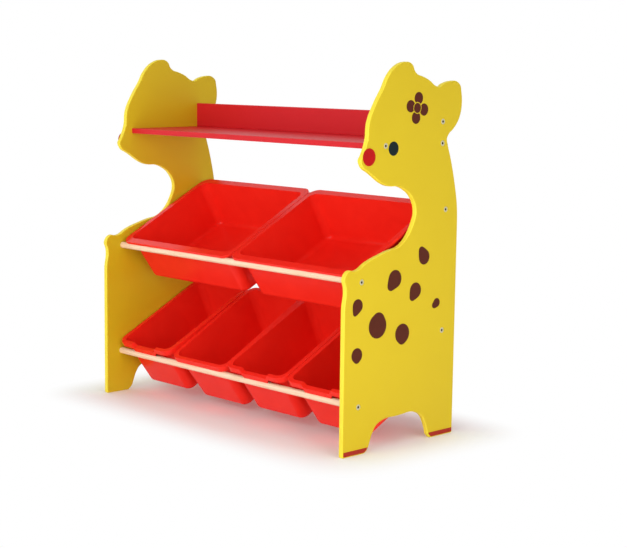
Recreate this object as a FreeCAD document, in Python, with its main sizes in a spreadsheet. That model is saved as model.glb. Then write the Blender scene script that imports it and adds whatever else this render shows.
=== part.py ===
import FreeCAD, Part

# A child's toy organizer: two side panels cut as giraffes, a shelf with a back rail between the heads, and
# two pairs of sloping dowels that carry two large and four small plastic bins. Millimetres. X runs across
# the width, -Y is the front, +Z is up, and the origin is on the floor under the middle of the overall size.

import math
import os

import Sketcher

Vector = FreeCAD.Vector

# The driving dimensions. Each is a cell of the sheet, under this name.
SIZES = {
    # Overall
    "overall_width": 825,
    "overall_depth": 346,
    "overall_height": 800,
    # Boards
    "side_board": 12,
    "shelf_board": 12,
    "rail_board": 12,
    "side_edge_round": 2.5,
    "heel_round": 4,
    "board_edge_round": 1.5,
    # Shelf and rail
    "shelf_top_drop": 163.5,
    "shelf_front_setback": 81,
    "shelf_back_setback": 53.5,
    "rail_width": 57,
    "shelf_front_screw_inset": 34,
    "shelf_back_screw_inset": 6,
    "rail_screw_rise": 39.5,
    # Dowels
    "dowel_diameter": 15,
    "dowel_seat_depth": 3,
    "dowel_seat_gap": 0.1,
    "upper_tilt": 28,
    "lower_tilt": 27.5,
    "upper_front_setback": 50.5,
    "upper_back_setback": 46,
    "lower_front_setback": 44.5,
    "lower_back_setback": 51,
    "lower_front_height": 100.5,
    # Screws
    "screw_shank": 5,
    "screw_thread_gap": 0.05,
    "screw_hole_gap": 0.25,
    "screw_grip": 34,
    "screw_point": 4,
    "screw_head": 11.5,
    "screw_head_height": 3.4,
    "counterbore_gap": 0.5,
    "counterbore_depth": 4,
    "socket_across": 5,
    "socket_depth": 2.4,
    # Bins
    "bin_gap": 1.5,
    "bin_wall": 2,
    "bin_floor": 2.2,
    "tub_corner": 20,
    "tub_floor_round": 12,
    "rim_thickness": 2,
    "rim_corner": 26,
    "rim_edge_round": 0.8,
    "dowel_rest_gap": 0.3,
    "floor_drop": 103.5,
    "large_bin_clearance": 5.75,
    "large_side_draft": 4.8,
    "large_end_draft": 4.5,
    "large_rim_height": 5.2,
    "large_side_rim": 14,
    "large_end_rim": 17.5,
    "large_front_reach": 2.5,
    "large_back_reach": 8.5,
    "large_rib_pitch": 120,
    "large_rib_width": 2.4,
    "small_bin_clearance": 3.25,
    "small_side_draft": 3,
    "small_end_draft": 7,
    "small_rim_height": 12,
    "small_side_rim": 12,
    "small_end_rim": 9.8,
    "small_reach": 2,
    "scoop_drop": 8.5,
    "scoop_step": 5,
    # Prints on the outer faces
    "print_thickness": 0.3,
    "hoof_height": 12,
    "nose_radius": 18,
    "eye_radius": 14.5,
    "flower_core_radius": 10.3,
    "flower_ring_radius": 12.2,
    "petal_radius": 12.6,
    "petal_reach": 20.4,
    "flower_turn": -10.5,
}

# The giraffe's outline, as shares of the overall depth from the front heel and of the overall height from
# the floor: over the body from the top of the front leg to the top of the back one, and through the arch
# between the feet. Each stretch is one smooth curve through its points.
BODY_SHARES = [
    (0.006, 0.375),
    (0.019, 0.435),
    (0.007, 0.4625),
    (0.041, 0.479),
    (0.094, 0.4775),
    (0.198, 0.4975),
    (0.337, 0.516),
    (0.488, 0.534),
    (0.567, 0.5725),
    (0.6, 0.619),
    (0.556, 0.6565),
    (0.489, 0.676),
    (0.321, 0.6905),
    (0.215, 0.718),
    (0.137, 0.742),
    (0.128, 0.752),
    (0.148, 0.769),
    (0.178, 0.8),
    (0.195, 0.85),
    (0.256, 0.901),
    (0.309, 0.934),
    (0.343, 0.96),
    (0.407, 0.987),
    (0.486, 0.9994),
    (0.532, 0.998),
    (0.558, 0.9905),
    (0.575, 0.9765),
    (0.6, 0.968),
    (0.642, 0.963),
    (0.705, 0.9525),
    (0.756, 0.939),
    (0.788, 0.9355),
    (0.829, 0.9435),
    (0.89, 0.95),
    (0.952, 0.949),
    (0.981, 0.94),
    (0.994, 0.92),
    (1.0, 0.896),
    (0.991, 0.8675),
    (0.964, 0.8425),
    (0.924, 0.824),
    (0.886, 0.8115),
    (0.869, 0.799),
    (0.878, 0.783),
    (0.907, 0.746),
    (0.945, 0.685),
    (0.972, 0.623),
    (0.977, 0.55),
]
BACK_HEEL_SHARES = (0.965, 0.0)
ARCH_SHARES = [
    (0.772, 0.0),
    (0.745, 0.0085),
    (0.732, 0.0255),
    (0.711, 0.047),
    (0.682, 0.066),
    (0.63, 0.0785),
    (0.46, 0.0805),
    (0.335, 0.0775),
    (0.28, 0.0665),
    (0.25, 0.0485),
    (0.231, 0.029),
    (0.21, 0.0095),
    (0.172, 0.0),
]

# How high the upper front dowel sits in the giraffe's chest, as a share of the overall height.
UPPER_FRONT_HEIGHT_SHARE = 0.447

# The prints' places, as shares of depth and height in the same way.
NOSE_SHARES = (0.193, 0.762)
EYE_SHARES = (0.396, 0.7805)
FLOWER_SHARES = (0.596, 0.882)

# Each spot: its middle in shares of depth and height, then its length, big end and small end as shares of
# the overall depth, and the direction in degrees that its small end points, from the back towards up.
SPOT_SHARES = [
    (0.672, 0.4975, 0.119, 0.0465, 0.0245, 120),
    (0.416, 0.44, 0.137, 0.055, 0.031, 229),
    (0.599, 0.403, 0.119, 0.049, 0.025, 236),
    (0.791, 0.364, 0.073, 0.0285, 0.0205, 214),
    (0.108, 0.3835, 0.105, 0.041, 0.0175, 244),
    (0.282, 0.33, 0.157, 0.074, 0.055, 78),
    (0.494, 0.2965, 0.128, 0.061, 0.038, 268),
    (0.11, 0.26, 0.093, 0.044, 0.03, 270),
]
SPOT_FLANK_SHARE = 1.7
SCOOP_SHARE = 0.4

# How near two places count as the same.
FUZZ = 1e-6

UPPER_BINS = ["large_bin_left", "large_bin_right"]
LOWER_BINS = ["small_bin_1", "small_bin_2", "small_bin_3", "small_bin_4"]
PLAIN_FRONT_BINS = ["small_bin_2"]


doc = FreeCAD.newDocument("toy_organizer_rack")
sheet = doc.addObject("Spreadsheet::Sheet", "sizes")
for row, (alias, value) in enumerate(SIZES.items(), start=1):
    sheet.set(f"A{row}", alias)
    sheet.set(f"B{row}", str(value))
    sheet.setAlias(f"B{row}", alias)
doc.recompute()


def size(alias):
    """A driving dimension, read back from the sheet."""
    return float(getattr(sheet, alias))


# Places that several pieces share.
INNER_HALF = size("overall_width") / 2 - size("side_board")
OUTER_HALF = size("overall_width") / 2
FRONT = -size("overall_depth") / 2
DOWEL_RADIUS = size("dowel_diameter") / 2
SHELF_TOP = size("overall_height") - size("shelf_top_drop")
SHELF_UNDERSIDE = SHELF_TOP - size("shelf_board")
SHELF_MIDDLE = SHELF_TOP - size("shelf_board") / 2
SHELF_FRONT = FRONT + size("shelf_front_setback")
SHELF_BACK = FRONT + size("overall_depth") - size("shelf_back_setback")
RAIL_MIDDLE = SHELF_BACK - size("rail_board") / 2


def dowel_pitch(tier):
    """How far a tier's back dowel is from its front one, along the slope."""
    level = size("overall_depth") - size(f"{tier}_front_setback") - size(f"{tier}_back_setback")
    return level / math.cos(math.radians(size(f"{tier}_tilt")))


def dowel_axes(tier, front_height):
    """The places of a tier's front and back dowel."""
    tilt = math.radians(size(f"{tier}_tilt"))
    front = Vector(0, FRONT + size(f"{tier}_front_setback"), front_height)
    return front, front + Vector(0, math.cos(tilt), math.sin(tilt)) * dowel_pitch(tier)


UPPER_AXES = dowel_axes("upper", size("overall_height") * UPPER_FRONT_HEIGHT_SHARE)
LOWER_AXES = dowel_axes("lower", size("lower_front_height"))
DOWEL_AXES = {
    "upper_front_dowel": UPPER_AXES[0],
    "upper_back_dowel": UPPER_AXES[1],
    "lower_front_dowel": LOWER_AXES[0],
    "lower_back_dowel": LOWER_AXES[1],
}
SHELF_SCREW_AXES = [
    Vector(0, SHELF_FRONT + size("shelf_front_screw_inset"), SHELF_MIDDLE),
    Vector(0, SHELF_BACK - size("shelf_back_screw_inset"), SHELF_MIDDLE),
]
RAIL_SCREW_AXIS = Vector(0, RAIL_MIDDLE, SHELF_TOP + size("rail_screw_rise"))
BOARD_SCREW_AXES = SHELF_SCREW_AXES + [RAIL_SCREW_AXIS]
HEAD_SEAT = OUTER_HALF - size("counterbore_depth")


def at_share(depth_share, height_share):
    """A point of the giraffe's outline, from the front foot's corner."""
    return Vector(depth_share * size("overall_depth"), height_share * size("overall_height"), 0)


def heading(before, point, after):
    """The direction of the circle through three points, at the middle one."""
    back = point - before
    ahead = after - point
    return (back * (1 / back.dot(back)) + ahead * (1 / ahead.dot(ahead))).normalize()


def arc_from(start, direction, end):
    """The arc that leaves start in a direction and reaches end, or a line where they agree."""
    chord = end - start
    side = Vector(-direction.y, direction.x, 0)
    offset = side.dot(chord)
    if abs(offset) < 1e-6 * chord.Length:
        return Part.LineSegment(start, end)
    radius = chord.dot(chord) / (2 * offset)
    centre = start + side * radius
    middle = centre + (start + chord * 0.5 - centre).normalize() * abs(radius)
    return Part.Arc(start, middle, end)


def biarc(start, leaving, end, arriving):
    """Two arcs that join two points with the given directions, meeting smoothly between them."""
    chord = end - start
    turn = leaving + arriving
    spread = 2 * (1 - leaving.dot(arriving))
    along = chord.dot(turn)
    if spread < 1e-9:
        reach = chord.dot(chord) / (2 * along)
    else:
        reach = (-along + math.sqrt(along * along + 2 * spread * chord.dot(chord) / 2)) / spread
    joint = (start + end + (leaving - arriving) * reach) * 0.5
    second = arc_from(end, -arriving, joint)
    return [arc_from(start, leaving, joint), second]


def smooth(points, first, last):
    """A smooth curve through points, as arcs, that starts and ends in the given directions."""
    headings = [heading(*points[i - 1:i + 2]) for i in range(1, len(points) - 1)]
    headings = [first] + headings + [last]
    curves = []
    for i in range(len(points) - 1):
        curves += biarc(points[i], headings[i], points[i + 1], headings[i + 1])
    return curves


def giraffe_outline():
    """The panel's closed outline, smooth all the way round."""
    front_heel = at_share(0, 0)
    back_heel = at_share(*BACK_HEEL_SHARES)
    body = [at_share(*shares) for shares in BODY_SHARES]
    arch = [at_share(*shares) for shares in ARCH_SHARES]
    forward = Vector(-1, 0, 0)
    front_rise = (body[0] - front_heel).normalize()
    back_fall = (back_heel - body[-1]).normalize()
    radius = size("heel_round")
    curves = [Part.LineSegment(front_heel + front_rise * radius, body[0])]
    curves += smooth(body, front_rise, back_fall)
    curves.append(Part.LineSegment(body[-1], back_heel - back_fall * radius))
    curves.append(arc_from(back_heel - back_fall * radius, back_fall, back_heel + forward * radius))
    curves.append(Part.LineSegment(back_heel + forward * radius, arch[0]))
    curves += smooth(arch, forward, forward)
    curves.append(Part.LineSegment(arch[-1], front_heel - forward * radius))
    curves.append(arc_from(front_heel - forward * radius, forward, front_heel + front_rise * radius))
    return curves


def egg(middle, length, big, small, direction):
    """A spot's outline: a big and a small end joined by two bowed flanks."""
    ahead = Vector(math.cos(math.radians(direction)), math.sin(math.radians(direction)), 0)
    side = Vector(-ahead.y, ahead.x, 0)
    big_middle = middle - ahead * (length / 2 - big)
    small_middle = middle + ahead * (length / 2 - small)
    span = (small_middle - big_middle).Length
    flank = length * SPOT_FLANK_SHARE
    along = (span ** 2 + (flank - big) ** 2 - (flank - small) ** 2) / (2 * span)
    across = math.sqrt((flank - big) ** 2 - along ** 2)
    curves = []
    touches = []
    for sign in (1, -1):
        flank_middle = big_middle + ahead * along - side * (across * sign)
        on_big = big_middle + (big_middle - flank_middle).normalize() * big
        on_small = small_middle + (small_middle - flank_middle).normalize() * small
        half_way = (on_big + on_small) * 0.5 - flank_middle
        curves.append(Part.Arc(on_big, flank_middle + half_way.normalize() * flank, on_small))
        touches.append((on_big, on_small))
    curves.append(Part.Arc(touches[0][0], big_middle - ahead * big, touches[1][0]))
    curves.append(Part.Arc(touches[0][1], small_middle + ahead * small, touches[1][1]))
    return curves


def circle(middle, radius):
    """A full circle in a sketch."""
    return [Part.Circle(middle, Vector(0, 0, 1), radius)]


def petal(middle, direction):
    """One petal: a round lobe with the ring round the flower's centre cut out of it."""
    ahead = Vector(math.cos(math.radians(direction)), math.sin(math.radians(direction)), 0)
    side = Vector(-ahead.y, ahead.x, 0)
    reach = size("petal_reach")
    lobe = size("petal_radius")
    ring = size("flower_ring_radius")
    along = (reach ** 2 + ring ** 2 - lobe ** 2) / (2 * reach)
    across = math.sqrt(ring ** 2 - along ** 2)
    left = middle + ahead * along + side * across
    right = middle + ahead * along - side * across
    outer = Part.Arc(left, middle + ahead * (reach + lobe), right)
    inner = Part.Arc(right, middle + ahead * ring, left)
    return [outer, inner]


def rounded_rectangle(x0, y0, x1, y1, radius):
    """A rectangle with round corners, as lines and arcs."""
    corners = [
        (Vector(x1 - radius, y0 + radius, 0), -90),
        (Vector(x1 - radius, y1 - radius, 0), 0),
        (Vector(x0 + radius, y1 - radius, 0), 90),
        (Vector(x0 + radius, y0 + radius, 0), 180),
    ]
    arcs = []
    for centre, start in corners:
        ends = [centre + Vector(math.cos(a), math.sin(a), 0) * radius
                for a in (math.radians(start), math.radians(start + 45), math.radians(start + 90))]
        arcs.append(ends)
    curves = []
    for i, ends in enumerate(arcs):
        curves.append(Part.Arc(*ends))
        curves.append(Part.LineSegment(ends[2], arcs[(i + 1) % len(arcs)][0]))
    return curves


def polygon(points):
    """A closed outline of straight lines."""
    return [Part.LineSegment(points[i - 1], points[i]) for i in range(len(points))]


def plane(body, role):
    """One of a body's own origin planes."""
    return next(item for item in body.Origin.OriginFeatures if item.Role == role)


def sketch_on(body, name, role, offset, curves):
    """A sketch on one of the body's origin planes, moved by an offset in that plane's own directions."""
    sketch = body.newObject("Sketcher::SketchObject", name)
    sketch.AttachmentSupport = [(plane(body, role), "")]
    sketch.MapMode = "FlatFace"
    sketch.AttachmentOffset = FreeCAD.Placement(offset, FreeCAD.Rotation())
    sketch.addGeometry(curves, False)
    return sketch


def circles_on(body, name, role, offset, centres, diameter):
    """A sketch of equal circles, their size bound to the sheet."""
    curves = [Part.Circle(centre, Vector(0, 0, 1), size(diameter[0]) / 2) for centre in centres]
    sketch = sketch_on(body, name, role, offset, curves)
    for i in range(len(centres)):
        sketch.addConstraint(Sketcher.Constraint("Radius", i, size(diameter[0]) / 2))
        sketch.renameConstraint(i, f"radius_{i}")
        sketch.setExpression(f"Constraints.radius_{i}", diameter[1])
    return sketch


def feature(body, kind, name, profile, **settings):
    """A feature of a body, with its settings. A setting given as text in an 'expression' is bound."""
    made = body.newObject(f"PartDesign::{kind}", name)
    made.Profile = profile
    for key, value in settings.items():
        if isinstance(value, str) and key in ("Length",):
            made.setExpression(key, value)
        else:
            setattr(made, key, value)
    return made


def yz(point):
    """A point's place in a sketch on the YZ plane."""
    return Vector(point.y, point.z, 0)


def make_side_panel():
    """The right side panel, with its screw holes, counterbores and dowel seats."""
    body = doc.addObject("PartDesign::Body", "right_side_panel")
    body.Label = "right_side_panel"
    corner = Vector(FRONT, 0, INNER_HALF)
    outline = sketch_on(body, "giraffe_outline", "YZ_Plane", corner, giraffe_outline())
    board = feature(body, "Pad", "giraffe_board", outline, Length="sizes.side_board")
    doc.recompute()
    rounded = body.newObject("PartDesign::Fillet", "rounded_edges")
    rounded.Base = (board, names_of(board.Shape.Edges, "Edge", lambda box: box.XLength < FUZZ))
    rounded.setExpression("Radius", "sizes.side_edge_round")
    dowels = [yz(axis) for axis in DOWEL_AXES.values()]
    axes = dowels + [yz(axis) for axis in BOARD_SCREW_AXES]
    outside = Vector(0, 0, OUTER_HALF)
    inside = Vector(0, 0, INNER_HALF)
    holes = circles_on(body, "screw_hole_places", "YZ_Plane", outside, axes,
                       ("screw_shank", "sizes.screw_shank / 2 + sizes.screw_hole_gap"))
    feature(body, "Pocket", "screw_holes", holes, Length="sizes.side_board")
    sinks = circles_on(body, "counterbore_places", "YZ_Plane", outside, axes,
                       ("screw_head", "sizes.screw_head / 2 + sizes.counterbore_gap"))
    feature(body, "Pocket", "counterbores", sinks, Length="sizes.counterbore_depth")
    seats = circles_on(body, "dowel_seat_places", "YZ_Plane", inside, dowels,
                       ("dowel_diameter", "sizes.dowel_diameter / 2 + sizes.dowel_seat_gap"))
    feature(body, "Pocket", "dowel_seats", seats, Length="sizes.dowel_seat_depth", Reversed=True)
    return body


def make_crosspiece(name, curves, half_length, length, pilots, pilot_depth):
    """A board or dowel that runs from side to side, with a pilot hole for each screw at both ends."""
    body = doc.addObject("PartDesign::Body", name)
    body.Label = name
    section = sketch_on(body, f"{name}_section", "YZ_Plane", Vector(0, 0, 0), curves)
    feature(body, "Pad", f"{name}_bar", section, Length=length, Midplane=True)
    places = circles_on(body, f"{name}_pilot_places", "YZ_Plane", Vector(0, 0, half_length),
                        [yz(axis) for axis in pilots],
                        ("screw_shank", "sizes.screw_shank / 2 + sizes.screw_thread_gap"))
    drilled = feature(body, "Pocket", f"{name}_pilots", places, Length=pilot_depth)
    doc.recompute()
    mirrored = body.newObject("PartDesign::Mirrored", f"{name}_far_pilots")
    mirrored.Originals = [drilled]
    mirrored.MirrorPlane = (plane(body, "YZ_Plane"), [""])
    body.Tip = mirrored
    return body


def names_of(items, kind, wanted):
    """The names of a shape's faces or edges whose boxes are wanted."""
    return [f"{kind}{i}" for i, item in enumerate(items, start=1) if wanted(item.BoundBox)]


def add_draft(body, name, base, faces, angle):
    """Leans some of a block's sides inwards going down, about the level of the dowels' axes."""
    drafted = body.newObject("PartDesign::Draft", name)
    drafted.Base = (base, faces)
    drafted.NeutralPlane = (plane(body, "XY_Plane"), [""])
    drafted.Reversed = True
    drafted.setExpression("Angle", angle)
    doc.recompute()
    return drafted


def add_round(body, name, base, edges, radius):
    """Rounds some edges of a body's latest feature."""
    rounded = body.newObject("PartDesign::Fillet", name)
    rounded.Base = (base, edges)
    rounded.setExpression("Radius", radius)
    doc.recompute()
    return rounded


def add_tub(body, name, mouth, top, floor, drafts, rounds):
    """A drafted block with round corners and a round-edged floor. Its mouth is given at dowel level."""
    half_x, front, back = mouth
    corners = [Vector(-half_x, front, 0), Vector(half_x, front, 0), Vector(half_x, back, 0),
               Vector(-half_x, back, 0)]
    outline = sketch_on(body, f"{name}_mouth", "XY_Plane", Vector(0, 0, top), polygon(corners))
    block = feature(body, "Pad", f"{name}_block", outline, Length=floor, Reversed=True)
    doc.recompute()
    sides = names_of(block.Shape.Faces, "Face", lambda box: box.XLength < FUZZ)
    leaned = add_draft(body, f"{name}_side_draft", block, sides, drafts[0])
    ends = names_of(leaned.Shape.Faces, "Face", lambda box: box.YLength < FUZZ)
    leaned = add_draft(body, f"{name}_end_draft", leaned, ends, drafts[1])
    bottom = leaned.Shape.BoundBox.ZMin + FUZZ
    uprights = names_of(leaned.Shape.Edges, "Edge",
                        lambda box: box.ZMin < bottom and box.ZLength > FUZZ)
    cornered = add_round(body, f"{name}_corners", leaned, uprights, rounds[0])
    rim_of_floor = names_of(cornered.Shape.Edges, "Edge", lambda box: box.ZMax < bottom)
    add_round(body, f"{name}_floor_edge", cornered, rim_of_floor, rounds[1])


def make_bin(name, kind, half_x, pitch, rim_top, reaches, drops, rib_places):
    """A bin about its front dowel's axis: X across, Y up the slope to the back dowel, Z out of it."""
    body = doc.addObject("PartDesign::Body", name)
    body.Label = name
    side_rim = size(f"{kind}_side_rim")
    end_rim = size(f"{kind}_end_rim")
    front = -reaches[0]
    back = pitch + reaches[1]
    wall = size("bin_wall")
    plate = size("rim_thickness")
    side_lean = math.tan(math.radians(size(f"{kind}_side_draft"))) * rim_top
    end_slope = math.tan(math.radians(size(f"{kind}_end_draft")))
    end_lean = end_slope * rim_top
    drafts = (f"sizes.{kind}_side_draft", f"sizes.{kind}_end_draft")
    inside = (half_x - side_rim - side_lean, front + end_rim + end_lean, back - end_rim - end_lean)
    outside = (inside[0] + wall, inside[1] - wall, inside[2] + wall)
    middle_of_plate = rim_top - plate / 2
    add_tub(body, f"{name}_tub", outside, middle_of_plate, f"sizes.floor_drop + {middle_of_plate}", drafts,
            ("sizes.tub_corner", "sizes.tub_floor_round"))

    under_plate = Vector(0, 0, rim_top - plate)
    rim = rounded_rectangle(-half_x, front, half_x, back, size("rim_corner"))
    brim = sketch_on(body, f"{name}_rim_outline", "XY_Plane", under_plate, rim)
    feature(body, "Pad", f"{name}_rim", brim, Length="sizes.rim_thickness")
    inner = rounded_rectangle(-half_x + plate, front + plate, half_x - plate, back - plate,
                              size("rim_corner") - plate)
    hem = sketch_on(body, f"{name}_skirt_outline", "XY_Plane", under_plate, rim + inner)
    skirt_drop = f"sizes.{kind}_rim_height - sizes.rim_thickness"
    last = feature(body, "Pad", f"{name}_skirt", hem, Length=skirt_drop, Reversed=True)
    if rib_places:
        ribs = []
        half_rib = size("large_rib_width") / 2
        root = back - end_rim
        tip = back - plate / 2
        for place in rib_places:
            ribs += polygon([
                Vector(place - half_rib, root, 0),
                Vector(place + half_rib, root, 0),
                Vector(place + half_rib, tip, 0),
                Vector(place - half_rib, tip, 0),
            ])
        places = sketch_on(body, f"{name}_rib_places", "XY_Plane", under_plate, ribs)
        last = feature(body, "Pad", f"{name}_ribs", places, Length=skirt_drop, Reversed=True)
    doc.recompute()
    top_edges = names_of(last.Shape.Edges, "Edge", lambda box: box.ZMin > rim_top - FUZZ)
    add_round(body, f"{name}_rim_round", last, top_edges, "sizes.rim_edge_round")

    room = doc.addObject("PartDesign::Body", f"{name}_room")
    add_tub(room, f"{name}_hollow", inside, rim_top + plate,
            f"sizes.floor_drop - sizes.bin_floor + {rim_top + plate}", drafts,
            ("sizes.tub_corner - sizes.bin_wall", "sizes.tub_floor_round - sizes.bin_wall"))
    doc.recompute()
    hollowed = body.newObject("PartDesign::Boolean", f"{name}_hollowed")
    hollowed.setObjects([room])
    hollowed.Type = "Cut"
    doc.recompute()
    height = size(f"{kind}_rim_height")
    half = half_x * SCOOP_SHARE
    for end, drop, outer, sign in (("front", drops[0], front, 1), ("back", drops[1], back, -1)):
        if drop:
            depth = end_rim + end_slope * drop
            add_scoop(body, f"{name}_{end}", half, drop, rim_top, height, outer, depth, sign)
    return body


def add_scoop(body, name, half, drop, rim_top, height, outer, depth, sign):
    """Lowers the middle of one end's rim, so that it rests on the dowel and its corners stand above it."""
    plate = size("rim_thickness")
    step = size("scoop_step")
    # The XZ plane faces the front, so distances off it run towards the front.
    near = Vector(0, 0, -outer)
    inwards = sign > 0
    above = [
        Vector(-half - step, rim_top, 0),
        Vector(-half, rim_top - drop, 0),
        Vector(half, rim_top - drop, 0),
        Vector(half + step, rim_top, 0),
    ]
    cut = sketch_on(body, f"{name}_scoop_outline", "XZ_Plane", near, polygon(above))
    feature(body, "Pocket", f"{name}_scoop", cut, Length=depth, Reversed=not inwards)
    lip = above + [point - Vector(0, plate, 0) for point in reversed(above)]
    lowered = sketch_on(body, f"{name}_lip_outline", "XZ_Plane", near, polygon(lip))
    feature(body, "Pad", f"{name}_lip", lowered, Length=depth, Reversed=inwards)
    hem = above + [point - Vector(0, height, 0) for point in reversed(above)]
    hemmed = sketch_on(body, f"{name}_lip_skirt_outline", "XZ_Plane", near, polygon(hem))
    feature(body, "Pad", f"{name}_lip_skirt", hemmed, Length="sizes.rim_thickness", Reversed=inwards)


def bin_placement(middle_x, tier, back_axis, sunk):
    """Where a bin sits on its dowels, its front end sunk if asked."""
    pitch = dowel_pitch(tier)
    lean = math.degrees(math.asin(sunk / pitch))
    turn = FreeCAD.Rotation(Vector(1, 0, 0), size(f"{tier}_tilt") + lean)
    to_back = turn.multVec(Vector(0, pitch, 0))
    return FreeCAD.Placement(Vector(middle_x, 0, 0) + back_axis - to_back, turn)


def make_screw(axis, name):
    """One socket-head screw through the right panel, driven towards -X."""
    parts = []
    turn = FreeCAD.Rotation(Vector(0, 0, 1), Vector(-1, 0, 0))
    seat = Vector(HEAD_SEAT, axis.y, axis.z)

    def round_piece(kind, label, place, **sizes_bound):
        piece = doc.addObject(f"Part::{kind}", f"{name}_{label}")
        for key, expression in sizes_bound.items():
            piece.setExpression(key, expression)
        piece.Placement = FreeCAD.Placement(place, turn)
        parts.append(piece)
        return piece

    back = Vector(1, 0, 0)
    round_piece("Cylinder", "head", seat + back * size("screw_head_height"),
                Radius="sizes.screw_head / 2", Height="sizes.screw_head_height")
    round_piece("Cylinder", "shank", seat, Radius="sizes.screw_shank / 2", Height="sizes.screw_grip")
    round_piece("Cone", "point", seat - back * size("screw_grip"), Radius1="sizes.screw_shank / 2",
                Radius2="sizes.screw_shank / 8", Height="sizes.screw_point")
    whole = doc.addObject("Part::MultiFuse", f"{name}_blank")
    whole.Shapes = parts
    socket = doc.addObject("Part::Prism", f"{name}_socket")
    socket.Polygon = 6
    socket.setExpression("Circumradius", "sizes.socket_across / sqrt(3)")
    socket.setExpression("Height", "sizes.socket_depth")
    socket.Placement = FreeCAD.Placement(seat + back * size("screw_head_height"), turn)
    screw = doc.addObject("Part::Cut", name)
    screw.Base = whole
    screw.Tool = socket
    return screw


def group(name, members):
    """Several separate pieces under one name."""
    made = doc.addObject("Part::Compound", name)
    made.Label = name
    made.Links = members
    return made


def mirror(name, source):
    """The same piece on the left side."""
    made = doc.addObject("Part::Mirroring", name)
    made.Label = name
    made.Source = source
    made.Normal = Vector(1, 0, 0)
    return made


def make_print(name, curves):
    """A thin print on the right panel's outer face."""
    sketch = doc.addObject("Sketcher::SketchObject", f"{name}_outline")
    turn = FreeCAD.Rotation(Vector(0, 1, 0), Vector(0, 0, 1), Vector(1, 0, 0), "XYZ")
    sketch.Placement = FreeCAD.Placement(Vector(OUTER_HALF, FRONT, 0), turn)
    sketch.addGeometry(curves, False)
    made = doc.addObject("Part::Extrusion", name)
    made.Label = name
    made.Base = sketch
    made.DirMode = "Custom"
    made.Dir = Vector(1, 0, 0)
    made.setExpression("LengthFwd", "sizes.print_thickness")
    made.Solid = True
    return made


def make_hooves(panel):
    """The two hooves: the foot of the panel's flat outer face, as high as the hoof."""
    doc.recompute()
    flat = [face for face in panel.Shape.Faces
            if face.BoundBox.XLength < FUZZ and abs(face.BoundBox.XMax - OUTER_HALF) < FUZZ]
    face = max(flat, key=lambda item: item.Area)
    skin = face.extrude(Vector(size("print_thickness"), 0, 0))
    band = Part.makeBox(size("print_thickness"), size("overall_depth"), size("hoof_height"),
                        Vector(OUTER_HALF, FRONT, 0))
    made = doc.addObject("Part::Feature", "right_hooves")
    made.Label = "right_hooves"
    made.Shape = Part.makeCompound(skin.common(band).Solids)
    return made


nodes = []

right_panel = make_side_panel()
nodes.append(right_panel)

board_span = "sizes.overall_width - 2 * sizes.side_board"
board_reach = "sizes.screw_grip + sizes.screw_point - sizes.side_board + sizes.counterbore_depth"
seated_half = INNER_HALF + size("dowel_seat_depth")
for dowel_name, dowel_axis in DOWEL_AXES.items():
    nodes.append(make_crosspiece(
        dowel_name,
        circle(yz(dowel_axis), DOWEL_RADIUS),
        seated_half,
        f"{board_span} + 2 * sizes.dowel_seat_depth",
        [dowel_axis],
        f"{board_reach} + sizes.dowel_seat_depth",
    ))

nodes.append(make_crosspiece(
    "top_shelf",
    rounded_rectangle(SHELF_FRONT, SHELF_UNDERSIDE, SHELF_BACK, SHELF_TOP, size("board_edge_round")),
    INNER_HALF,
    board_span,
    SHELF_SCREW_AXES,
    board_reach,
))
nodes.append(make_crosspiece(
    "shelf_back_rail",
    rounded_rectangle(SHELF_BACK - size("rail_board"), SHELF_TOP, SHELF_BACK,
                      SHELF_TOP + size("rail_width"), size("board_edge_round")),
    INNER_HALF,
    board_span,
    [RAIL_SCREW_AXIS],
    board_reach,
))

rest = DOWEL_RADIUS + size("dowel_rest_gap")
scoop = size("scoop_drop")
large_reaches = (size("large_front_reach"), size("large_back_reach"))
small_reaches = (size("small_reach"), size("small_reach"))
rib_places = [-size("large_rib_pitch"), 0, size("large_rib_pitch")]
tiers = (
    ("upper", "large", UPPER_BINS, UPPER_AXES[1], large_reaches, (0, 0), rib_places),
    ("lower", "small", LOWER_BINS, LOWER_AXES[1], small_reaches, (scoop, scoop), []),
)
for tier, kind, bin_names, back_axis, reaches, drops, ribs in tiers:
    # The bins of a tier share the width between the panels, so bay is one bin and the gap beside it.
    room = 2 * (INNER_HALF - size(f"{kind}_bin_clearance"))
    bay = (room + size("bin_gap")) / len(bin_names)
    half_x = (bay - size("bin_gap")) / 2
    for i, bin_name in enumerate(bin_names):
        plain_front = bin_name in PLAIN_FRONT_BINS
        rim_top = rest + drops[0] + size(f"{kind}_rim_height")
        bin_drops = (0, drops[1]) if plain_front else drops
        made_bin = make_bin(bin_name, kind, half_x, dowel_pitch(tier), rim_top, reaches, bin_drops, ribs)
        middle_x = bay * (i - (len(bin_names) - 1) / 2)
        made_bin.Placement = bin_placement(middle_x, tier, back_axis, scoop if plain_front else 0)
        nodes.append(made_bin)

dowel_screws = [make_screw(axis, f"{name}_screw") for name, axis in DOWEL_AXES.items()]
board_screws = [make_screw(axis, f"board_screw_{i}") for i, axis in enumerate(BOARD_SCREW_AXES)]
right_pieces = {
    "dowel_screws": group("dowel_screws_right", dowel_screws),
    "shelf_screws": group("shelf_screws_right", board_screws),
}

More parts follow.
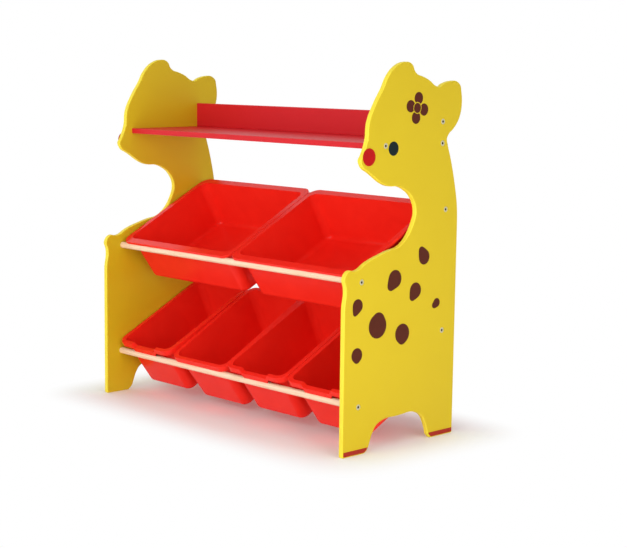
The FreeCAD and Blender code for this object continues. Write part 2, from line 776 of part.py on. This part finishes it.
spots = []
for depth_share, height_share, length_share, big_share, small_share, direction in SPOT_SHARES:
    whole_depth = size("overall_depth")
    spots += egg(at_share(depth_share, height_share), length_share * whole_depth, big_share * whole_depth,
                 small_share * whole_depth, direction)
petals = []
for quarter in range(4):
    petals += petal(at_share(*FLOWER_SHARES), size("flower_turn") + 90 * quarter)
prints = {
    "nose": make_print("right_nose", circle(at_share(*NOSE_SHARES), size("nose_radius"))),
    "eye": make_print("right_eye", circle(at_share(*EYE_SHARES), size("eye_radius"))),
    "flower_centre": make_print("right_flower_centre",
                                circle(at_share(*FLOWER_SHARES), size("flower_core_radius"))),
    "flower_petals": make_print("right_flower_petals", petals),
    "spots": make_print("right_spots", spots),
    "hooves": make_hooves(right_panel),
}

nodes.append(mirror("left_side_panel", right_panel))
for kind, piece in right_pieces.items():
    nodes += [piece, mirror(f"{kind}_left", piece)]
for motif, piece in prints.items():
    nodes += [piece, mirror(f"left_{motif}", piece)]

doc.recompute()
for item in doc.Objects:
    if "Invalid" in item.State or "Error" in item.State:
        raise RuntimeError(f"{item.Label} did not build: {item.State}")
for node in nodes:
    if node.Shape.isNull() or not node.Shape.isValid():
        raise RuntimeError(f"{node.Label} has no valid shape")

os.makedirs("parts", exist_ok=True)
for node in nodes:
    node.Shape.exportStep(f"parts/{node.Label}.step")
    box = node.Shape.BoundBox
    print(f"{node.Label}: {len(node.Shape.Solids)} solids, volume {node.Shape.Volume / 1000:.1f} cm3,"
          f" x {box.XMin:.1f}..{box.XMax:.1f}, y {box.YMin:.1f}..{box.YMax:.1f},"
          f" z {box.ZMin:.1f}..{box.ZMax:.1f}")
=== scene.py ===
"""A toy organizer rack with giraffe side panels: its finishes, stage, lamps and camera."""

import logging
import math
from collections.abc import Mapping
from dataclasses import dataclass
from enum import Enum
from typing import Any, Protocol

import bpy
from mathutils import Matrix, Vector

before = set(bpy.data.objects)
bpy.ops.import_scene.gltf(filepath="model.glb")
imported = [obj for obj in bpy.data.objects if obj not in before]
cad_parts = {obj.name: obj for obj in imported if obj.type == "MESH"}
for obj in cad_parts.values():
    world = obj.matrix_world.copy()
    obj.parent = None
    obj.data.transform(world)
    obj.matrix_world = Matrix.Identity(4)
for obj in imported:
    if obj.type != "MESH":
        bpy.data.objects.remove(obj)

LOG = logging.getLogger("toy_rack")
MILLIMETRE = 0.001
SIDES = ("left", "right")
WHITE = (1.0, 1.0, 1.0, 1.0)
# A strength that shows as plain white.
WHITE_STRENGTH = 1.0
# The refractive index of lacquer, ink and varnish.
LACQUER_IOR = 1.5
# How far Blender's wave texture turns over one unit of its scale, in radians.
WAVE_TURN = 20.0


def linear(hex_colour: str) -> tuple[float, float, float, float]:
    """Turns an sRGB colour into the linear one that shaders take.

    Args:
        hex_colour: The colour as six hex digits.

    Returns:
        Red, green, blue and an alpha of one.
    """
    channels = [int(hex_colour[i:i + 2], 16) / 255 for i in (0, 2, 4)]
    made = [c / 12.92 if c <= 0.04045 else ((c + 0.055) / 1.055) ** 2.4 for c in channels]
    return made[0], made[1], made[2], 1.0


def per_metre(millimetres: float) -> float:
    """Gives a texture's scale for features of that size, in millimetres."""
    return 1 / (millimetres * MILLIMETRE)


def add_node(
    tree: bpy.types.NodeTree,
    kind: str,
    inputs: Mapping[str | int, Any] | None = None,
    **settings: Any,
) -> bpy.types.Node:
    """Adds a node with its settings, and sets or links its inputs.

    Args:
        tree: The node tree that gets it.
        kind: The node's type name.
        inputs: Values or output sockets, by the name or number of the input they go to.
        **settings: The node's own properties.

    Returns:
        The new node.
    """
    node = tree.nodes.new(kind)
    for key, value in settings.items():
        setattr(node, key, value)
    for key, value in (inputs or {}).items():
        if isinstance(value, bpy.types.NodeSocket):
            tree.links.new(value, node.inputs[key])
        else:
            node.inputs[key].default_value = value
    return node


def new_tree(name: str) -> tuple[bpy.types.Material, bpy.types.NodeTree]:
    """Makes an empty node material.

    Args:
        name: The material's name.

    Returns:
        The material and its cleared node tree.
    """
    material = bpy.data.materials.new(name)
    material.use_nodes = True
    material.node_tree.nodes.clear()
    return material, material.node_tree


def eye_rays(tree: bpy.types.NodeTree) -> bpy.types.NodeSocket:
    """Picks out the rays that reach the eye, straight or by way of a shine or of glass.

    Args:
        tree: The node tree that asks.

    Returns:
        A socket that is one on those rays, and zero on the rays that light other surfaces.
    """
    rays = add_node(tree, "ShaderNodeLightPath").outputs
    either = add_node(
        tree,
        "ShaderNodeMath",
        {0: rays["Is Camera Ray"], 1: rays["Is Glossy Ray"]},
        operation="MAXIMUM",
    )
    any_of_three = add_node(
        tree,
        "ShaderNodeMath",
        {0: either.outputs[0], 1: rays["Is Transmission Ray"]},
        operation="MAXIMUM",
    )
    return any_of_three.outputs[0]


class Finish(Protocol):
    """Anything that can be built into a material."""

    def build(self) -> bpy.types.Material:
        """Makes the material."""


class Paint(Enum):
    """The two lacquers on the boards, as sRGB."""

    YELLOW = "D7BC1D"
    RED = "D41F28"


class Ink(Enum):
    """The inks printed on the panels' outer faces, as sRGB."""

    NOSE_RED = "B60F11"
    HOOF_RED = "A62C20"
    EYE_BLACK = "0F1E20"
    SPOT_BROWN = "542213"


@dataclass(frozen=True)
class SprayedMdf:
    """Lacquer sprayed on fibreboard.

    It is smooth and satin, with a soft orange peel, and its edges carry a painted highlight in a
    lighter colour.
    """

    name: str
    paint: Paint
    shade: str
    # The lighter colour painted on the edges as a highlight.
    edge_highlight: str
    # The axes that the boards' faces look along.
    faces: tuple[str, ...]
    cloud_mm: float = 140.0
    # The normal's largest share along one of those axes: all face from the first, all edge under
    # the second.
    face_share: float = 0.96
    edge_share: float = 0.7
    nick_mm: float = 5.0
    # The noise's values at which a mark starts and is full, here and in the other finishes.
    nick_levels: tuple[float, float] = (0.3, 0.7)
    roughness: float = 0.42
    # What handling takes from the roughness, and what it adds.
    polish: float = -0.03
    rub: float = 0.07
    peel_mm: float = 2.4
    peel_height_mm: float = 0.1
    peel_strength: float = 0.12
    specular: float = 0.2

    def build(self) -> bpy.types.Material:
        """Makes the lacquer: its colour clouds slightly, and its shine varies where hands rub it.

        Returns:
            The material.
        """
        material, tree = new_tree(self.name)
        place = add_node(tree, "ShaderNodeTexCoord").outputs["Object"]
        cloud = add_node(
            tree,
            "ShaderNodeTexNoise",
            {"Vector": place, "Scale": per_metre(self.cloud_mm), "Detail": 2.0},
        )
        body = add_node(
            tree,
            "ShaderNodeMix",
            {0: cloud.outputs["Fac"], 6: linear(self.paint.value), 7: linear(self.shade)},
            data_type="RGBA",
        )
        # Painted highlight: where the normal turns away from the faces' axes, on the rounded edges,
        # the colour is mixed towards the lighter edge colour.
        normal = add_node(tree, "ShaderNodeNewGeometry").outputs["Normal"]
        axes = add_node(tree, "ShaderNodeSeparateXYZ", {0: normal})
        shares = [
            add_node(tree, "ShaderNodeMath", {0: axes.outputs[axis]}, operation="ABSOLUTE")
            for axis in self.faces
        ]
        largest = shares[0]
        for share in shares[1:]:
            largest = add_node(
                tree,
                "ShaderNodeMath",
                {0: largest.outputs[0], 1: share.outputs[0]},
                operation="MAXIMUM",
            )
        edge_highlight_mask = add_node(
            tree,
            "ShaderNodeMapRange",
            {
                "Value": largest.outputs[0],
                "From Min": self.face_share,
                "From Max": self.edge_share,
            },
        )
        brightened = add_node(
            tree,
            "ShaderNodeMix",
            {0: edge_highlight_mask.outputs["Result"], 6: body.outputs[2], 7: linear(self.edge_highlight)},
            data_type="RGBA",
        )
        nicks = add_node(
            tree,
            "ShaderNodeTexNoise",
            {"Vector": place, "Scale": per_metre(self.nick_mm), "Detail": 4.0},
        )
        handled = add_node(
            tree,
            "ShaderNodeMapRange",
            {
                "Value": nicks.outputs["Fac"],
                "From Min": self.nick_levels[0],
                "From Max": self.nick_levels[1],
                "To Min": self.polish,
                "To Max": self.rub,
            },
        )
        gloss = add_node(
            tree,
            "ShaderNodeMath",
            {0: handled.outputs["Result"], 1: self.roughness},
            operation="ADD",
        )
        peel = add_node(
            tree,
            "ShaderNodeTexNoise",
            {"Vector": place, "Scale": per_metre(self.peel_mm), "Detail": 1.0},
        )
        bump = add_node(
            tree,
            "ShaderNodeBump",
            {
                "Height": peel.outputs["Fac"],
                "Strength": self.peel_strength,
                "Distance": self.peel_height_mm * MILLIMETRE,
            },
        )
        shader = add_node(
            tree,
            "ShaderNodeBsdfPrincipled",
            {
                "Base Color": brightened.outputs[2],
                "Roughness": gloss.outputs[0],
                "Normal": bump.outputs["Normal"],
                "IOR": LACQUER_IOR,
                "Specular IOR Level": self.specular,
            },
        )
        add_node(tree, "ShaderNodeOutputMaterial", {"Surface": shader.outputs[0]})
        return material


@dataclass(frozen=True)
class ScreenInk:
    """Ink pressed through a screen onto the lacquer.

    It is a thin, even and nearly matt film that keeps the mesh's faint weave.
    """

    name: str
    ink: Ink
    patch_mm: float = 9.0
    patch_levels: tuple[float, float] = (0.3, 0.7)
    # How bright the ink is where it lies thickest, and where it lies thinnest.
    thick: float = 0.94
    brightened: float = 1.05
    # A real screen's threads are about 0.3 mm apart, too fine to show. These are drawn about
    # 20 times as coarse.
    mesh_mm: float = 6.2832
    weave_height_mm: float = 0.05
    weave_strength: float = 0.1
    roughness: float = 0.38
    specular: float = 0.1

    def build(self) -> bpy.types.Material:
        """Makes the ink film.

        Returns:
            The material.
        """
        material, tree = new_tree(self.name)
        place = add_node(tree, "ShaderNodeTexCoord").outputs["Object"]
        patch = add_node(
            tree,
            "ShaderNodeTexNoise",
            {"Vector": place, "Scale": per_metre(self.patch_mm), "Detail": 3.0},
        )
        density = add_node(
            tree,
            "ShaderNodeMapRange",
            {
                "Value": patch.outputs["Fac"],
                "From Min": self.patch_levels[0],
                "From Max": self.patch_levels[1],
                "To Min": self.thick,
                "To Max": self.brightened,
            },
        )
        colour = add_node(
            tree,
            "ShaderNodeHueSaturation",
            {"Color": linear(self.ink.value), "Value": density.outputs["Result"]},
        )
        threads = [
            add_node(
                tree,
                "ShaderNodeTexWave",
                {"Vector": place, "Scale": per_metre(self.mesh_mm) * math.tau / WAVE_TURN},
                bands_direction=direction,
            )
            for direction in ("Y", "Z")
        ]
        weave = add_node(
            tree,
            "ShaderNodeMath",
            {0: threads[0].outputs["Fac"], 1: threads[1].outputs["Fac"]},
            operation="MULTIPLY",
        )
        bump = add_node(
            tree,
            "ShaderNodeBump",
            {
                "Height": weave.outputs[0],
                "Strength": self.weave_strength,
                "Distance": self.weave_height_mm * MILLIMETRE,
            },
        )
        shader = add_node(
            tree,
            "ShaderNodeBsdfPrincipled",
            {
                "Base Color": colour.outputs[0],
                "Roughness": self.roughness,
                "IOR": LACQUER_IOR,
                "Specular IOR Level": self.specular,
                "Normal": bump.outputs["Normal"],
            },
        )
        add_node(tree, "ShaderNodeOutputMaterial", {"Surface": shader.outputs[0]})
        return material


@dataclass(frozen=True)
class TurnedBeech:
    """Beech turned to a rod and varnished.

    It is pale and even, with fine lengthwise grain and short darker flecks.
    """

    name: str = "turned_beech"
    pale: str = "FADDBE"
    dark: str = "EABF99"
    fleck: str = "B98A5C"
    # Each mark's length along the rod and its width.
    grain_mm: tuple[float, float] = (70.0, 1.6)
    fleck_mm: tuple[float, float] = (6.0, 0.9)
    grain_levels: tuple[float, float] = (0.35, 0.7)
    fleck_levels: tuple[float, float] = (0.66, 0.74)
    fleck_depth: float = 0.6
    grain_height_mm: float = 0.1
    grain_strength: float = 0.25
    roughness: float = 0.45
    varnish: float = 0.2
    varnish_roughness: float = 0.3

    def build(self) -> bpy.types.Material:
        """Makes the wood, its grain running along X as the rods do.

        Returns:
            The material.
        """
        material, tree = new_tree(self.name)
        place = add_node(tree, "ShaderNodeTexCoord").outputs["Object"]
        drawn_out = [
            add_node(
                tree,
                "ShaderNodeMapping",
                {"Vector": place, "Scale": (per_metre(run), per_metre(width), per_metre(width))},
            )
            for run, width in (self.grain_mm, self.fleck_mm)
        ]
        grain = add_node(
            tree,
            "ShaderNodeTexNoise",
            {"Vector": drawn_out[0].outputs[0], "Scale": 1.0, "Detail": 3.0},
        )
        streaks = add_node(
            tree,
            "ShaderNodeMapRange",
            {
                "Value": grain.outputs["Fac"],
                "From Min": self.grain_levels[0],
                "From Max": self.grain_levels[1],
            },
        )
        wood = add_node(
            tree,
            "ShaderNodeMix",
            {0: streaks.outputs["Result"], 6: linear(self.pale), 7: linear(self.dark)},
            data_type="RGBA",
        )
        flecks = add_node(
            tree,
            "ShaderNodeTexNoise",
            {"Vector": drawn_out[1].outputs[0], "Scale": 1.0, "Detail": 1.0},
        )
        sharp = add_node(
            tree,
            "ShaderNodeMapRange",
            {
                "Value": flecks.outputs["Fac"],
                "From Min": self.fleck_levels[0],
                "From Max": self.fleck_levels[1],
                "To Max": self.fleck_depth,
            },
        )
        colour = add_node(
            tree,
            "ShaderNodeMix",
            {0: sharp.outputs["Result"], 6: wood.outputs[2], 7: linear(self.fleck)},
            data_type="RGBA",
        )
        bump = add_node(
            tree,
            "ShaderNodeBump",
            {
                "Height": grain.outputs["Fac"],
                "Strength": self.grain_strength,
                "Distance": self.grain_height_mm * MILLIMETRE,
            },
        )
        shader = add_node(
            tree,
            "ShaderNodeBsdfPrincipled",
            {
                "Base Color": colour.outputs[2],
                "Roughness": self.roughness,
                "IOR": LACQUER_IOR,
                "Coat Weight": self.varnish,
                "Coat Roughness": self.varnish_roughness,
                "Normal": bump.outputs["Normal"],
            },
        )
        add_node(tree, "ShaderNodeOutputMaterial", {"Surface": shader.outputs[0]})
        return material


@dataclass(frozen=True)
class MouldedPolypropylene:
    """Polypropylene moulded in a lightly polished tool.

    It is waxy and glossy, and its colour drifts where it flowed.
    """

    name: str = "moulded_polypropylene"
    colour: str = "F52C1E"
    flow: str = "EF261A"
    flow_mm: float = 60.0
    flow_swirl: float = 0.6
    flow_levels: tuple[float, float] = (0.3, 0.75)
    scuff_mm: float = 14.0
    scuff_levels: tuple[float, float] = (0.35, 0.75)
    # How rough the plastic is where the tool's polish shows, and where it is scuffed. Both stay
    # under about 0.27, because the denoiser leaves dark specks in a range that crosses it.
    polished: float = 0.2
    scuffed: float = 0.26
    grain_mm: float = 1.8
    grain_height_mm: float = 0.1
    grain_strength: float = 0.12
    ior: float = 1.49
    specular: float = 0.14

    def build(self) -> bpy.types.Material:
        """Makes the plastic, with flow marks, light scuffs and the tool's faint grain.

        Returns:
            The material.
        """
        material, tree = new_tree(self.name)
        place = add_node(tree, "ShaderNodeTexCoord").outputs["Object"]
        flow = add_node(
            tree,
            "ShaderNodeTexNoise",
            {
                "Vector": place,
                "Scale": per_metre(self.flow_mm),
                "Detail": 3.0,
                "Distortion": self.flow_swirl,
            },
        )
        drift = add_node(
            tree,
            "ShaderNodeMapRange",
            {
                "Value": flow.outputs["Fac"],
                "From Min": self.flow_levels[0],
                "From Max": self.flow_levels[1],
            },
        )
        colour = add_node(
            tree,
            "ShaderNodeMix",
            {0: drift.outputs["Result"], 6: linear(self.colour), 7: linear(self.flow)},
            data_type="RGBA",
        )
        scuffs = add_node(
            tree,
            "ShaderNodeTexNoise",
            {"Vector": place, "Scale": per_metre(self.scuff_mm), "Detail": 5.0},
        )
        gloss = add_node(
            tree,
            "ShaderNodeMapRange",
            {
                "Value": scuffs.outputs["Fac"],
                "From Min": self.scuff_levels[0],
                "From Max": self.scuff_levels[1],
                "To Min": self.polished,
                "To Max": self.scuffed,
            },
        )
        grain = add_node(
            tree,
            "ShaderNodeTexNoise",
            {"Vector": place, "Scale": per_metre(self.grain_mm), "Detail": 2.0},
        )
        bump = add_node(
            tree,
            "ShaderNodeBump",
            {
                "Height": grain.outputs["Fac"],
                "Strength": self.grain_strength,
                "Distance": self.grain_height_mm * MILLIMETRE,
            },
        )
        shader = add_node(
            tree,
            "ShaderNodeBsdfPrincipled",
            {
                "Base Color": colour.outputs[2],
                "Roughness": gloss.outputs["Result"],
                "IOR": self.ior,
                "Specular IOR Level": self.specular,
                "Normal": bump.outputs["Normal"],
            },
        )
        add_node(tree, "ShaderNodeOutputMaterial", {"Surface": shader.outputs[0]})
        return material


@dataclass(frozen=True)
class ZincPlatedSteel:
    """Steel screws with zinc plating.

    Their heads are pale and slightly mottled, and shade is painted dark in their sockets and below
    the heads' faces.
    """

    name: str = "zinc_plated_steel"
    colour: str = "E3DCBC"
    dull: str = "BDB590"
    # The dark colour painted into the sockets and below the heads' faces as shade.
    socket_shade: str = "4A4128"
    mottle_mm: float = 2.0
    # How far the heads' outer faces are from the rack's middle, and how far behind them painted
    # shade darkens.
    face_mm: float = 411.9
    step_mm: float = 0.9
    bright_roughness: float = 0.3
    dull_roughness: float = 0.5
    mottle_height_mm: float = 0.05
    mottle_strength: float = 0.2

    def build(self) -> bpy.types.Material:
        """Makes the plating.

        Returns:
            The material.
        """
        material, tree = new_tree(self.name)
        place = add_node(tree, "ShaderNodeTexCoord").outputs["Object"]
        mottle = add_node(
            tree,
            "ShaderNodeTexNoise",
            {"Vector": place, "Scale": per_metre(self.mottle_mm), "Detail": 3.0},
        )
        plating = add_node(
            tree,
            "ShaderNodeMix",
            {0: mottle.outputs["Fac"], 6: linear(self.colour), 7: linear(self.dull)},
            data_type="RGBA",
        )
        # Painted shade: below the heads' outer faces, in the sockets, the plating is mixed towards
        # a dark colour.
        axes = add_node(tree, "ShaderNodeSeparateXYZ", {0: place})
        outward = add_node(tree, "ShaderNodeMath", {0: axes.outputs["X"]}, operation="ABSOLUTE")
        sunk_shade_mask = add_node(
            tree,
            "ShaderNodeMapRange",
            {
                "Value": outward.outputs[0],
                "From Min": self.face_mm * MILLIMETRE,
                "From Max": (self.face_mm - self.step_mm) * MILLIMETRE,
            },
        )
        colour = add_node(
            tree,
            "ShaderNodeMix",
            {0: sunk_shade_mask.outputs["Result"], 6: plating.outputs[2], 7: linear(self.socket_shade)},
            data_type="RGBA",
        )
        gloss = add_node(
            tree,
            "ShaderNodeMapRange",
            {
                "Value": mottle.outputs["Fac"],
                "To Min": self.bright_roughness,
                "To Max": self.dull_roughness,
            },
        )
        bump = add_node(
            tree,
            "ShaderNodeBump",
            {
                "Height": mottle.outputs["Fac"],
                "Strength": self.mottle_strength,
                "Distance": self.mottle_height_mm * MILLIMETRE,
            },
        )
        shader = add_node(
            tree,
            "ShaderNodeBsdfPrincipled",
            {
                "Base Color": colour.outputs[2],
                "Metallic": 1.0,
                "Roughness": gloss.outputs["Result"],
                "Normal": bump.outputs["Normal"],
            },
        )
        add_node(tree, "ShaderNodeOutputMaterial", {"Surface": shader.outputs[0]})
        return material


@dataclass(frozen=True)
class StageSweep:
    """A matt pale sweep under the rack.

    It keeps the rack's shadow, and turns plain white a short way off the rack's footprint.
    """

    name: str = "stage_sweep"
    colour: str = "F9F9F8"
    # Half the rack's width and half its depth, and how far off them the sweep is white, in metres.
    footprint: tuple[float, float] = (0.41, 0.17)
    white_at: float = 0.16

    def build(self) -> bpy.types.Material:
        """Makes the sweep's material.

        Returns:
            The material.
        """
        material, tree = new_tree(self.name)
        place = add_node(tree, "ShaderNodeTexCoord").outputs["Object"]
        folded = add_node(tree, "ShaderNodeVectorMath", {0: place}, operation="ABSOLUTE")
        beyond = add_node(
            tree,
            "ShaderNodeVectorMath",
            {0: folded.outputs[0], 1: (*self.footprint, 0.0)},
            operation="SUBTRACT",
        )
        off = add_node(tree, "ShaderNodeVectorMath", {0: beyond.outputs[0]}, operation="MAXIMUM")
        away = add_node(tree, "ShaderNodeVectorMath", {0: off.outputs[0]}, operation="LENGTH")
        clearing = add_node(
            tree,
            "ShaderNodeMapRange",
            {"Value": away.outputs["Value"], "From Max": self.white_at},
            interpolation_type="SMOOTHSTEP",
        )
        shown = add_node(
            tree,
            "ShaderNodeMath",
            {0: clearing.outputs["Result"], 1: eye_rays(tree)},
            operation="MULTIPLY",
        )
        matt = add_node(tree, "ShaderNodeBsdfDiffuse", {"Color": linear(self.colour)})
        white = add_node(
            tree, "ShaderNodeEmission", {"Color": WHITE, "Strength": WHITE_STRENGTH}
        )
        mixed = add_node(
            tree,
            "ShaderNodeMixShader",
            {0: shown.outputs[0], 1: matt.outputs[0], 2: white.outputs[0]},
        )
        add_node(tree, "ShaderNodeOutputMaterial", {"Surface": mixed.outputs[0]})
        return material


def dress(names: tuple[str, ...], finish: Finish) -> None:
    """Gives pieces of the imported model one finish.

    Args:
        names: The pieces.
        finish: What they are finished in.
    """
    material = finish.build()
    for name in names:
        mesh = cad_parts[name].data
        mesh.materials.clear()
        mesh.materials.append(material)
        LOG.info("%s is %s", name, material.name)


@dataclass(frozen=True)
class SidePanels:
    """The two giraffe boards and what is printed on them."""

    # Its last colour is the edges' painted highlight.
    lacquer: Finish = SprayedMdf("yellow_lacquer", Paint.YELLOW, "D3B51A", "EFDA3C", ("X",))

    def dress(self) -> None:
        """Lacquers the boards and inks the prints."""
        dress(tuple(f"{side}_side_panel" for side in SIDES), self.lacquer)
        prints = {
            Ink.NOSE_RED: ("nose",),
            Ink.HOOF_RED: ("hooves",),
            Ink.EYE_BLACK: ("eye",),
            Ink.SPOT_BROWN: ("spots", "flower_petals", "flower_centre"),
        }
        for ink, motifs in prints.items():
            names = tuple(f"{side}_{motif}" for side in SIDES for motif in motifs)
            dress(names, ScreenInk(ink.name.lower(), ink))


@dataclass(frozen=True)
class TopShelf:
    """The red board between the heads and its back rail."""

    # Its last colour is the edges' painted highlight.
    lacquer: Finish = SprayedMdf("red_lacquer", Paint.RED, "CA1C25", "DE3A40", ("Y", "Z"))

    def dress(self) -> None:
        """Lacquers the two boards."""
        dress(("top_shelf", "shelf_back_rail"), self.lacquer)


@dataclass(frozen=True)
class Carriers:
    """The four rods, and every screw that holds them or the shelf."""

    rod: Finish = TurnedBeech()
    plating: Finish = ZincPlatedSteel()

    def dress(self) -> None:
        """Varnishes the rods and plates the screws."""
        tiers, ends = ("upper", "lower"), ("front", "back")
        rods = tuple(f"{tier}_{end}_dowel" for tier in tiers for end in ends)
        dress(rods, self.rod)
        screws = tuple(f"{kind}_screws_{side}" for kind in ("dowel", "shelf") for side in SIDES)
        dress(screws, self.plating)


@dataclass(frozen=True)
class Bins:
    """The two large bins and the small ones."""

    plastic: Finish = MouldedPolypropylene()
    small_count: int = 4

    def dress(self) -> None:
        """Gives the mouldings their plastic."""
        large = tuple(f"large_bin_{side}" for side in SIDES)
        small = tuple(f"small_bin_{number}" for number in range(1, self.small_count + 1))
        dress(large + small, self.plastic)


@dataclass(frozen=True)
class Lamp:
    """A soft square lamp aimed at the rack, in metres and watts."""

    name: str
    place: tuple[float, float, float]
    aim: tuple[float, float, float]
    width: float
    watts: float

    def hang(self) -> None:
        """Adds the lamp."""
        light = bpy.data.lights.new(self.name, "AREA")
        light.size = self.width
        light.energy = self.watts
        lamp = bpy.data.objects.new(self.name, light)
        lamp.location = self.place
        beam = Vector(self.aim) - Vector(self.place)
        lamp.rotation_euler = beam.to_track_quat("-Z", "Y").to_euler()
        bpy.context.scene.collection.objects.link(lamp)
        LOG.info("%s hangs at %s", self.name, self.place)


@dataclass(frozen=True)
class Studio:
    """The sweep, the lamps and the plain light all round."""

    sweep: Finish = StageSweep()
    # From the rack's middle to each side of the sweep, in metres.
    sweep_reach: float = 9.0
    # The strength of the light all round, at the height of the horizon and straight above.
    level_light: float = 0.7
    overhead_light: float = 0.5
    lamps: tuple[Lamp, ...] = (
        Lamp("front_lamp", (0.2, -3.0, 1.1), (0.0, 0.0, 0.35), 2.4, 13.0),
        Lamp("low_lamp", (0.3, -2.8, 0.5), (0.0, 0.0, 0.15), 1.2, 15.0),
        Lamp("camera_side_lamp", (1.4, -2.7, 1.7), (0.0, 0.0, 0.35), 1.6, 16.0),
        Lamp("right_lamp", (3.0, -0.6, 1.3), (0.0, 0.0, 0.4), 2.0, 6.0),
        Lamp("side_fill", (1.3, -0.3, 0.36), (0.41, -0.05, 0.24), 0.6, 3.2),
        Lamp("left_lamp", (-3.0, -0.4, 1.3), (0.0, 0.0, 0.4), 2.0, 14.0),
        Lamp("back_lamp", (-0.4, 3.0, 1.5), (0.0, 0.0, 0.35), 2.0, 8.0),
        Lamp("top_lamp", (0.0, 0.2, 3.2), (0.0, 0.0, 0.3), 2.4, 6.0),
    )

    def build(self) -> None:
        """Lays the sweep, hangs the lamps and sets the light all round."""
        self.lay_sweep()
        for lamp in self.lamps:
            lamp.hang()
        self.light_all_round()

    def lay_sweep(self) -> None:
        """Lays a flat square sweep under the rack, as part of the stage."""
        mesh = bpy.data.meshes.new("sweep")
        far = self.sweep_reach
        corners = [(-far, -far, 0), (far, -far, 0), (far, far, 0), (-far, far, 0)]
        mesh.from_pydata(corners, [], [(0, 1, 2, 3)])
        mesh.materials.append(self.sweep.build())
        floor = bpy.data.objects.new("sweep", mesh)
        bpy.context.scene.collection.objects.link(floor)

    def light_all_round(self) -> None:
        """Makes a world that is plain white to the eye and lights the rack evenly."""
        world = bpy.data.worlds.new("studio")
        bpy.context.scene.world = world
        world.use_nodes = True
        tree = world.node_tree
        tree.nodes.clear()
        direction = add_node(tree, "ShaderNodeTexCoord").outputs["Generated"]
        axes = add_node(tree, "ShaderNodeSeparateXYZ", {0: direction})
        strength = add_node(
            tree,
            "ShaderNodeMapRange",
            {
                "Value": axes.outputs["Z"],
                "To Min": self.level_light,
                "To Max": self.overhead_light,
            },
        )
        soft = add_node(
            tree,
            "ShaderNodeBackground",
            {"Color": WHITE, "Strength": strength.outputs["Result"]},
        )
        shown = add_node(
            tree, "ShaderNodeBackground", {"Color": WHITE, "Strength": WHITE_STRENGTH}
        )
        mixed = add_node(
            tree,
            "ShaderNodeMixShader",
            {0: eye_rays(tree), 1: soft.outputs[0], 2: shown.outputs[0]},
        )
        add_node(tree, "ShaderNodeOutputWorld", {"Surface": mixed.outputs[0]})


@dataclass(frozen=True)
class ProductCamera:
    """The camera, standing where the photograph was taken from."""

    place_mm: tuple[float, float, float] = (2528.903, -2251.769, 801.847)
    azimuth_deg: float = 46.6973
    down_deg: float = 8.1115
    roll_deg: float = 0.4154
    lens_mm: float = 86.243
    sensor_mm: float = 36.0
    sees_to: float = 50.0

    def set_up(self) -> None:
        """Adds the camera and makes it the scene's."""
        around = math.radians(self.azimuth_deg)
        down = math.radians(self.down_deg)
        roll = math.radians(self.roll_deg)
        flat = math.cos(down)
        back = Vector((math.sin(around) * flat, -math.cos(around) * flat, math.sin(down)))
        level = Vector((0, 0, 1)).cross(back).normalized()
        upright = back.cross(level)
        right = math.cos(roll) * level + math.sin(roll) * upright
        up = math.cos(roll) * upright - math.sin(roll) * level
        data = bpy.data.cameras.new("product_camera")
        data.lens = self.lens_mm
        data.sensor_width = self.sensor_mm
        data.clip_end = self.sees_to
        camera = bpy.data.objects.new("product_camera", data)
        turned = Matrix((right, up, back)).transposed().to_4x4()
        camera.matrix_world = Matrix.Translation(Vector(self.place_mm) * MILLIMETRE) @ turned
        bpy.context.scene.collection.objects.link(camera)
        bpy.context.scene.camera = camera
        LOG.info("camera at %s mm", self.place_mm)


def main() -> None:
    """Builds the stage, dresses every piece and sets up the camera."""
    logging.basicConfig(level=logging.INFO, format="%(name)s: %(message)s")
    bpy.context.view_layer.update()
    Studio().build()
    for part in (SidePanels(), TopShelf(), Carriers(), Bins()):
        part.dress()
    ProductCamera().set_up()
    bpy.context.scene.view_settings.view_transform = "Standard"


if __name__ == "__main__":
    main()
